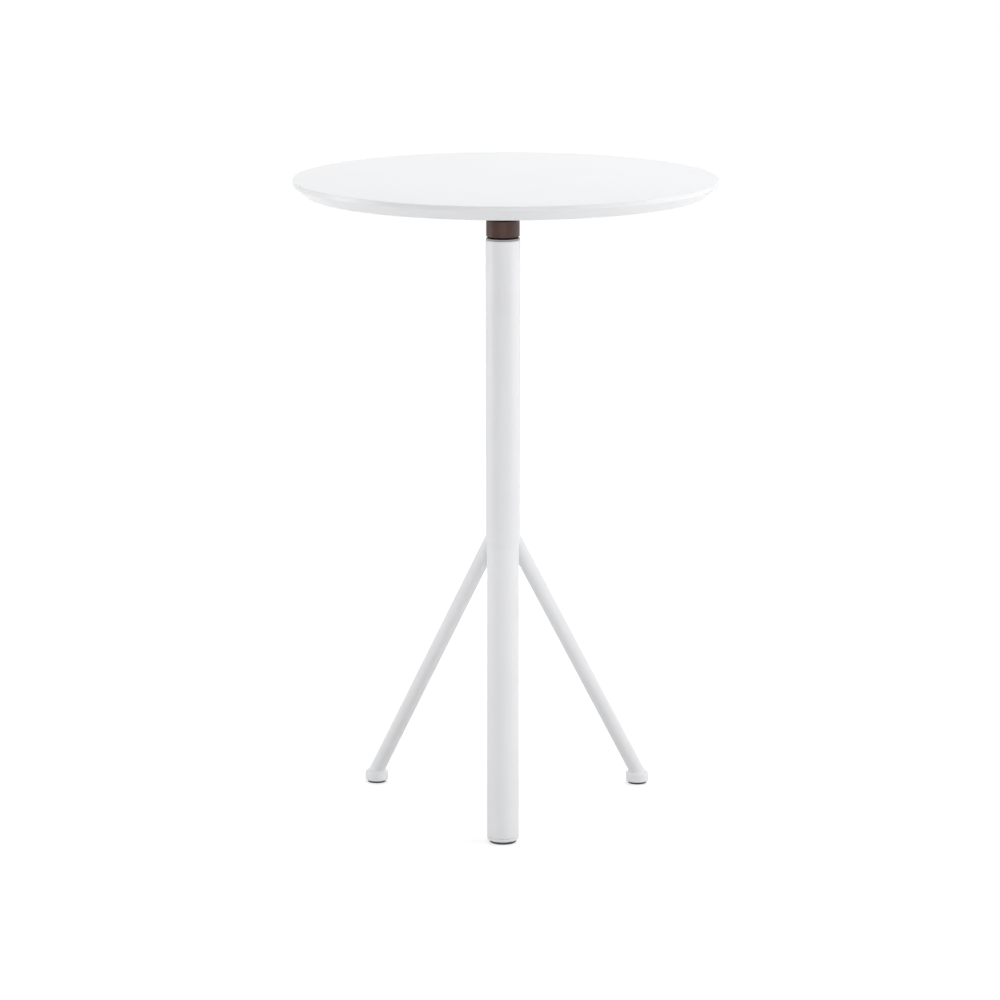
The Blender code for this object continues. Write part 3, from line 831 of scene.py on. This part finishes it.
def make_head(finishes):
    """Arm, barrel and neck run into each other like one casting, then the neck and bore are turned."""
    spigot_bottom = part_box("head_casting")[0].z
    column = node_middle("column_tube")
    pivot = pivot_point()
    neck_radius = node_radius("neck_washer")
    neck_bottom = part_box("neck_seal")[1].z + FIT
    neck_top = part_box("rest_pad")[0].z - FIT
    corner = ARM_CORNER
    reach = column.y - pivot.y
    arm = [
        (0, ARM_END_DEPTH / 2 - corner, corner),
        (0, corner - ARM_END_DEPTH / 2, corner),
        (reach, neck_top - pivot.z - corner - FIT, corner),
        (reach, neck_bottom - pivot.z + corner + FIT, corner),
    ]
    place = moved(pivot) @ ALONG_X
    head = object_from(
        "neck_and_arm_casting",
        lambda bm: add_prism(bm, circles_outline(arm), ARM_WIDTH, place),
    )
    bevel(head, corner, 4)
    barrel = rounded(
        [
            (0, -BARREL_WIDTH / 2, 0),
            (BARREL_RADIUS, -BARREL_WIDTH / 2, CAST_EDGE),
            (BARREL_RADIUS, BARREL_WIDTH / 2, CAST_EDGE),
            (0, BARREL_WIDTH / 2, 0),
        ]
    )
    join(head, lambda bm: add_turned(bm, barrel, TUBE, place))
    axis = moved((column.x, column.y, 0))
    inset = 2 * NECK_EDGE_RADIUS
    core = rod_outline(neck_radius - FIT, neck_bottom + inset, neck_top - inset)
    join(head, lambda bm: add_turned(bm, core, ROUND, axis))
    remesh = head.modifiers.new("cast_skin", "REMESH")
    remesh.mode = "VOXEL"
    remesh.voxel_size = CAST_VOXEL
    smooth = head.modifiers.new("cast_fillets", "SMOOTH")
    smooth.factor = CAST_SMOOTHING_STEP
    smooth.iterations = CAST_SMOOTHING
    apply_modifiers(head)
    neck = rounded(
        [
            (0, spigot_bottom, 0),
            (SPIGOT_RADIUS, spigot_bottom, CAST_EDGE),
            (SPIGOT_RADIUS, neck_bottom, SMALL_EDGE),
            (neck_radius, neck_bottom, NECK_EDGE_RADIUS),
            (neck_radius, neck_top, NECK_EDGE_RADIUS),
            (0, neck_top, 0),
        ]
    )
    join(head, lambda bm: add_turned(bm, neck, ROUND, axis))
    bore = rod_outline(BOLT_RADIUS + FIT + BUSH_WALL + FIT, -BARREL_WIDTH, BARREL_WIDTH)
    cut(head, lambda bm: add_turned(bm, bore, TUBE, place))
    finish(head, finishes, "brown_coat", "base", "head_casting")


def make_bushes(finishes):
    place = moved(pivot_point()) @ ALONG_X
    bore = BOLT_RADIUS + FIT
    for side, sign in SIDES.items():
        node = f"pivot_bush_{side}"
        low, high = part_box(node)
        flange_radius = (high.z - low.z) / 2
        face = BARREL_WIDTH / 2 + FIT
        corners = [
            (bore, sign * (face - BUSH_LENGTH), FINE_EDGE),
            (bore + BUSH_WALL, sign * (face - BUSH_LENGTH), FINE_EDGE),
            (bore + BUSH_WALL, sign * face, SHARP_EDGE),
            (flange_radius, sign * face, FINE_EDGE),
            (flange_radius, sign * (face + BUSH_FLANGE), FINE_EDGE),
            (bore, sign * (face + BUSH_FLANGE), FINE_EDGE),
        ]
        outline = rounded(corners, is_closed=True, steps=3)
        bush = object_from(
            f"nylon_bush_{side}", lambda bm: add_turned(bm, outline, SMALL, place, True)
        )
        finish(bush, finishes, "nylon", "base", node)


def make_neck_rings(finishes):
    column = node_middle("column_tube")
    axis = moved((column.x, column.y, 0))
    bore = SPIGOT_RADIUS + FIT
    # The seal and the rest pad take the near-black rubber, whose tone holds painted shade for the gaps
    # at the neck's ends
    rings = (
        ("neck_washer", "grey_ring", "grey_plastic", bore, SMALL_EDGE),
        ("neck_seal", "seal_ring", "dark_rubber", bore, SOFT_EDGE),
        ("rest_pad", "rubber_rest_pad", "dark_rubber", REST_PAD_BORE, REST_PAD_EDGE),
    )
    for node, name, slot, inner, edge in rings:
        low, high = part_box(node)
        outline = tube_outline(node_radius(node), inner, low.z, high.z, edge, edge / 2)
        ring = object_from(name, lambda bm: add_turned(bm, outline, ROUND, axis, True))
        finish(ring, finishes, slot, "base", node)


# Base

def make_column(finishes):
    column = node_middle("column_tube")
    axis = moved((column.x, column.y, 0))
    low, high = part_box("column_tube")
    radius = node_radius("column_tube")
    inner = radius - COLUMN_WALL
    outline = tube_outline(radius, inner, low.z, high.z, TUBE_RIM_RADIUS, FINE_EDGE)
    tube = object_from("column_upper_tube", lambda bm: add_turned(bm, outline, ROUND, axis, True))
    for side in SIDES:
        make_set_screw(finishes, side, tube, column, radius)
    finish(tube, finishes, "white_coat", "base", "column_tube")
    low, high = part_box("front_leg_tube")
    leg_radius = node_radius("front_leg_tube")
    inner = leg_radius - FRONT_LEG_WALL
    outline = tube_outline(leg_radius, inner, low.z, high.z, SMALL_EDGE, FINE_EDGE)
    leg = object_from("front_leg_lower_tube", lambda bm: add_turned(bm, outline, ROUND, axis, True))
    finish(leg, finishes, "white_coat", "base", "front_leg_tube")
    make_step_weld(finishes, axis, leg_radius, radius)


def make_set_screw(finishes, side, tube, column, column_radius):
    """A set screw with a hexagon socket, in its hole through the column's wall."""
    node = f"set_screw_{side}"
    low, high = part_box(node)
    radius = (high.z - low.z) / 2
    middle = node_middle(node)
    direction = Vector((middle.x - column.x, middle.y - column.y, 0))
    half = column_radius - SET_SCREW_RECESS - direction.length
    place = pointing(middle, direction)
    hole = rod_outline(radius + FIT, 0, column_radius)
    cut(tube, lambda bm: add_turned(bm, hole, SMALL, place))
    outline = rod_outline(radius, -half, half, SMALL_EDGE)
    screw = object_from(
        f"socket_set_screw_{side}", lambda bm: add_turned(bm, outline, SMALL, place)
    )
    socket = rod_outline(HEX_SOCKET_RADIUS, half - HEX_SOCKET_DEPTH, half + HEX_SOCKET_DEPTH)
    cut(screw, lambda bm: add_turned(bm, socket, 6, place))
    finish(screw, finishes, "zinc_steel", "base", node)


def eased(share):
    """Runs from 0 to 1 with a level start and end."""
    return share * share * (3 - 2 * share)


def make_step_weld(finishes, axis, leg_radius, column_radius):
    """The weld at the column's lower end, ground smooth under the coat."""
    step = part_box("column_tube")[0].z
    bottom = step - STEP_WELD_HEIGHT
    top = step + TUBE_RIM_RADIUS
    points = []
    for row in range(STEP_WELD_ROWS + 1):
        share = row / STEP_WELD_ROWS
        radius = leg_radius + (column_radius - leg_radius) * eased(share)
        points.append((radius, bottom + (top - bottom) * share))
    inner = leg_radius - STEP_WELD_SKIN
    points += [(column_radius - TUBE_RIM_RADIUS, top), (inner, top), (inner, bottom)]
    weld = object_from("step_weld", lambda bm: add_turned(bm, points, ROUND, axis, True))
    finish(weld, finishes, "white_coat", "base")


def side_leg_line(side):
    """Start on the column's axis, end under the leg's lowest point, and direction of a side leg."""
    column = node_middle("column_tube")
    foot = node_middle(f"glide_disc_{side}")
    leg_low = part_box(f"side_leg_{side}")[0].z
    start = Vector((column.x, column.y, JUNCTION_HEIGHT))
    end = Vector((foot.x, foot.y, leg_low - FIT))
    return start, end, (end - start).normalized()


def make_side_legs(finishes):
    """Tubes coped to the column and its step at the top, and cut level at the cup."""
    column = node_middle("column_tube")
    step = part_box("column_tube")[0].z
    column_radius = node_radius("column_tube")
    leg_radius = node_radius("front_leg_tube")
    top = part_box("column_tube")[1].z
    coping = [
        (0, 0),
        (leg_radius + FIT, 0),
        (leg_radius + FIT, step - FIT),
        (column_radius + FIT, step - FIT),
        (column_radius + FIT, top),
        (0, top),
    ]
    axis = moved((column.x, column.y, 0))
    for side in SIDES:
        start, end, direction = side_leg_line(side)
        length = (end - start).length + 4 * SIDE_LEG_RADIUS
        inner = SIDE_LEG_RADIUS - SIDE_LEG_WALL
        outline = [(SIDE_LEG_RADIUS, 0), (SIDE_LEG_RADIUS, length), (inner, length), (inner, 0)]
        leg = object_from(
            f"side_leg_tube_{side}",
            lambda bm: add_turned(bm, outline, TUBE, pointing(start, direction), True),
        )
        cut(leg, lambda bm: add_turned(bm, coping, ROUND, axis))
        level_cut = rod_outline(8 * SIDE_LEG_RADIUS, -16 * SIDE_LEG_RADIUS, end.z + FIT)
        cut(leg, lambda bm: add_turned(bm, level_cut, SMALL, moved((end.x, end.y, 0))))
        finish(leg, finishes, "white_coat", "base", f"side_leg_{side}")
        make_leg_weld(finishes, side, column, column_radius, leg_radius, step)
        make_cup(finishes, side)


def leg_surface_path(side, is_outside, samples=144, halvings=40):
    """Points round a side leg, and normals there, where is_outside(point) first becomes true."""
    start, end, direction = side_leg_line(side)
    first = direction.orthogonal().normalized()
    second = direction.cross(first)
    points, normals = [], []
    for index in range(samples):
        angle = 2 * math.pi * index / samples
        normal = math.cos(angle) * first + math.sin(angle) * second
        near, far = 0.0, (end - start).length + 2 * SIDE_LEG_RADIUS
        for _ in range(halvings):
            middle = (near + far) / 2
            if is_outside(start + direction * middle + normal * SIDE_LEG_RADIUS):
                far = middle
            else:
                near = middle
        points.append(start + direction * near + normal * SIDE_LEG_RADIUS)
        normals.append(normal)
    return points, normals


def make_leg_weld(finishes, side, column, column_radius, leg_radius, step):
    """A weld bead where a side leg meets the column and the weld at its step."""
    def radius_at(height):
        share = min(max((height - step + STEP_WELD_HEIGHT) / STEP_WELD_HEIGHT, 0), 1)
        return leg_radius + (column_radius - leg_radius) * eased(share)

    def is_outside(point):
        return math.hypot(point.x - column.x, point.y - column.y) > radius_at(point.z)

    path, normals = leg_surface_path(side, is_outside)
    for index, point in enumerate(path):
        away = Vector((point.x - column.x, point.y - column.y, 0)).normalized()
        normals[index] = (normals[index] + away).normalized()
    weld = object_from(f"leg_weld_{side}", lambda bm: add_bead(bm, path, normals, LEG_BEAD_RADIUS))
    finish(weld, finishes, "white_coat", "base", sharp_degrees=BEAD_SHARP_DEGREES)


def make_cup(finishes, side):
    """An upright cup with a slanted spigot up into the leg, and the bead that joins them."""
    foot = node_middle(f"glide_disc_{side}")
    low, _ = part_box(f"foot_cup_{side}")
    top = low.z + CUP_HEIGHT
    radius = node_radius(f"foot_cup_{side}")
    corners = [
        (0, low.z, 0),
        (radius, low.z, CUP_FOOT_RADIUS),
        (radius, top, CUP_EDGE_RADIUS),
        (0, top, 0),
    ]
    outline = rounded(corners, steps=6)
    axis = moved((foot.x, foot.y, 0))
    cup = object_from(f"foot_cup_body_{side}", lambda bm: add_turned(bm, outline, TUBE, axis))
    _, end, direction = side_leg_line(side)
    spigot_radius = SIDE_LEG_RADIUS - SIDE_LEG_WALL - FIT
    spigot = rod_outline(spigot_radius, -CUP_HEIGHT / 2, CUP_SPIGOT_LENGTH, CUP_FOOT_RADIUS)
    join(cup, lambda bm: add_turned(bm, spigot, TUBE, pointing(end, -direction)))
    hole = rod_outline(STUD_RADIUS + FIT, 0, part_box(f"glide_stud_{side}")[1].z + FIT)
    cut(cup, lambda bm: add_turned(bm, hole, SMALL, axis))
    finish(cup, finishes, "white_coat", "base", f"foot_cup_{side}")

    def is_outside(point):
        return point.z < top

    path, normals = leg_surface_path(side, is_outside)
    normals = [(normal + Vector((0, 0, 1))).normalized() for normal in normals]
    weld = object_from(f"cup_weld_{side}", lambda bm: add_bead(bm, path, normals, CUP_BEAD_RADIUS))
    finish(weld, finishes, "white_coat", "base", sharp_degrees=BEAD_SHARP_DEGREES)


def make_front_foot(finishes):
    foot = node_middle("front_foot_plug")
    low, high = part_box("front_foot_plug")
    radius = node_radius("front_foot_plug")
    flange_top = low.z + PLUG_FLANGE
    spigot = radius - FRONT_LEG_WALL - FIT
    bore = INSERT_RADIUS + FIT
    corners = [
        (radius, low.z, PLUG_EDGE_RADIUS),
        (radius, flange_top, SMALL_EDGE),
        (spigot, flange_top, SHARP_EDGE),
        (spigot, high.z, SOFT_EDGE),
        (bore, high.z, FINE_EDGE),
        (bore, low.z, FINE_EDGE),
    ]
    outline = rounded(corners, is_closed=True, steps=8)
    axis = moved((foot.x, foot.y, 0))
    plug = object_from("foot_plug_moulding", lambda bm: add_turned(bm, outline, ROUND, axis, True))
    finish(plug, finishes, "white_plastic", "base", "front_foot_plug")


def make_glides(finishes):
    """Discs with a pocket on top, each on its threaded stud."""
    for name in ("front", "left", "right"):
        node = f"glide_disc_{name}"
        place = node_middle(node)
        axis = moved((place.x, place.y, 0))
        low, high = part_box(node)
        radius = node_radius(node)
        pocket = STUD_RADIUS + FIT
        outline = rounded(
            [
                (0, low.z, 0),
                (radius - GLIDE_TAPER, low.z, GLIDE_EDGE_RADIUS),
                (radius, low.z + GLIDE_HEIGHT / 2, GLIDE_EDGE_RADIUS),
                (radius, high.z, GLIDE_EDGE_RADIUS),
                (pocket, high.z, SHARP_EDGE),
                (pocket, high.z - GLIDE_POCKET, 0),
                (0, high.z - GLIDE_POCKET, 0),
            ]
        )
        disc = object_from(f"glide_foot_{name}", lambda bm: add_turned(bm, outline, TUBE, axis))
        finish(disc, finishes, "dark_plastic", f"glide_{name}", node)
        stud_node = f"glide_stud_{name}"
        bottom, top = (corner.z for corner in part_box(stud_node))
        stud = object_from(
            f"threaded_stud_{name}",
            lambda bm: add_thread(bm, STUD_RADIUS, bottom, top, STUD_PITCH, STUD_THREAD_DEPTH),
        )
        stud.location = (place.x, place.y, 0)
        finish(stud, finishes, "zinc_steel", f"glide_{name}", stud_node)


def dress_kept_nodes(frame, finishes):
    """Gives every node its slot's finish. Those that no piece replaces lie inside the table."""
    for subpart in frame["record"]["subparts"]:
        node = frame["nodes"][subpart["node"]]
        node.data.materials.clear()
        node.data.materials.append(finishes[subpart["material_slot"]])


# Studio

def seen_directly(tree):
    """1 for camera, glossy and transmission rays, else 0."""
    path = tree.nodes.new("ShaderNodeLightPath")
    value = path.outputs["Is Camera Ray"]
    for output in ("Is Glossy Ray", "Is Transmission Ray"):
        either = tree.nodes.new("ShaderNodeMath")
        either.operation = "MAXIMUM"
        tree.links.new(value, either.inputs[0])
        tree.links.new(path.outputs[output], either.inputs[1])
        value = either.outputs[0]
    return value


def make_world():
    world = bpy.data.worlds.new("studio")
    world.use_nodes = True
    tree = world.node_tree
    background = tree.nodes["Background"]
    background.inputs["Color"].default_value = (1, 1, 1, 1)
    strength = tree.nodes.new("ShaderNodeMapRange")
    strength.inputs["To Min"].default_value = WORLD_FILL
    strength.inputs["To Max"].default_value = 1.0
    tree.links.new(seen_directly(tree), strength.inputs["Value"])
    tree.links.new(strength.outputs["Result"], background.inputs["Strength"])
    bpy.context.scene.world = world


def make_floor():
    """White paper that keeps the shadows near the table and glows white further out."""
    half = FLOOR_SIZE / 2
    corners = [(-half, -half, 0), (half, -half, 0), (half, half, 0), (-half, half, 0)]
    mesh = bpy.data.meshes.new("floor")
    mesh.from_pydata(corners, [], [(0, 1, 2, 3)])
    floor = bpy.data.objects.new("floor", mesh)
    floor.location.z = -FLOOR_DROP
    bpy.context.scene.collection.objects.link(floor)
    material, tree, shader = new_material("floor_paper")
    shader.inputs["Base Color"].default_value = (*FLOOR_COLOUR, 1)
    shader.inputs["Roughness"].default_value = 1.0
    shader.inputs["Specular IOR Level"].default_value = 0.0
    shader.inputs["Emission Color"].default_value = (1, 1, 1, 1)
    distance = tree.nodes.new("ShaderNodeVectorMath")
    distance.operation = "LENGTH"
    coordinates = tree.nodes.new("ShaderNodeTexCoord")
    tree.links.new(coordinates.outputs["Object"], distance.inputs[0])
    fade = tree.nodes.new("ShaderNodeMapRange")
    fade.inputs["From Max"].default_value = FLOOR_GLOW_REACH
    fade.inputs["To Min"].default_value = FLOOR_GLOW_NEAR
    fade.inputs["To Max"].default_value = FLOOR_GLOW_FAR
    tree.links.new(distance.outputs["Value"], fade.inputs["Value"])
    glow = tree.nodes.new("ShaderNodeMath")
    glow.operation = "MULTIPLY"
    tree.links.new(fade.outputs["Result"], glow.inputs[0])
    tree.links.new(seen_directly(tree), glow.inputs[1])
    tree.links.new(glow.outputs[0], shader.inputs["Emission Strength"])
    mesh.materials.append(material)


def add_softbox(name, place, aim_height, size, power, is_reflected=True):
    light = bpy.data.lights.new(name, "AREA")
    light.shape = "RECTANGLE"
    light.size, light.size_y = size
    light.energy = power
    lamp = bpy.data.objects.new(name, light)
    lamp.location = place
    aim = Vector((0, 0, aim_height)) - Vector(place)
    lamp.rotation_euler = aim.to_track_quat("-Z", "Y").to_euler()
    lamp.visible_glossy = is_reflected
    bpy.context.scene.collection.objects.link(lamp)


def make_lights():
    """Soft light from above, from low in front and all round, where the back ones only fill."""
    square = (SOFTBOX_LENGTH, SOFTBOX_LENGTH)
    add_softbox("top_softbox", TOP_LIGHT_PLACE, UPPER_AIM, square, TOP_LIGHT_POWER)
    place = (0, -SIDE_LIGHT_DISTANCE, FRONT_LIGHT_HEIGHT)
    flat = (SOFTBOX_LENGTH, FRONT_LIGHT_THICKNESS)
    add_softbox("low_front_softbox", place, UPPER_AIM, flat, FRONT_LIGHT_POWER)
    # Name, degrees round from the front, power, and whether the gloss shows it
    lights_round = (
        ("left", -90, 39, True),
        ("right", 90, 26, True),
        ("right_front", 60, 16, True),
        ("right_back", 120, 12, True),
        ("left_back", -150, 14, False),
        ("back", 170, 14, False),
    )
    upright = (SIDE_LIGHT_WIDTH, SOFTBOX_LENGTH)
    for name, degrees, power, is_reflected in lights_round:
        angle = math.radians(degrees)
        x = SIDE_LIGHT_DISTANCE * math.sin(angle)
        y = -SIDE_LIGHT_DISTANCE * math.cos(angle)
        place = (x, y, SIDE_LIGHT_HEIGHT)
        add_softbox(f"{name}_softbox", place, SIDE_LIGHT_AIM, upright, power, is_reflected)


def make_camera():
    data = bpy.data.cameras.new("camera")
    data.lens = CAMERA_LENS
    data.sensor_width = SENSOR_WIDTH
    data.clip_end = CAMERA_REACH
    camera = bpy.data.objects.new("camera", data)
    camera.location = (
        CAMERA_DISTANCE * math.sin(CAMERA_AZIMUTH),
        -CAMERA_DISTANCE * math.cos(CAMERA_AZIMUTH),
        CAMERA_HEIGHT,
    )
    camera.rotation_euler = (math.pi / 2 - CAMERA_PITCH, 0, CAMERA_AZIMUTH + CAMERA_YAW)
    bpy.context.scene.collection.objects.link(camera)
    bpy.context.scene.camera = camera


def main():
    for obj in list(bpy.data.objects):
        bpy.data.objects.remove(obj)
    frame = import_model()
    bpy.context.scene.view_settings.view_transform = "Standard"
    make_world()
    make_floor()
    make_lights()
    make_camera()
    finishes = make_finishes()
    dress_kept_nodes(frame, finishes)
    make_tabletop(finishes)
    make_plate(finishes)
    make_plate_screws(finishes)
    make_pivot_hardware(finishes)
    make_lever(finishes)
    make_head(finishes)
    make_bushes(finishes)
    make_neck_rings(finishes)
    make_column(finishes)
    make_side_legs(finishes)
    make_front_foot(finishes)
    make_glides(finishes)


main()
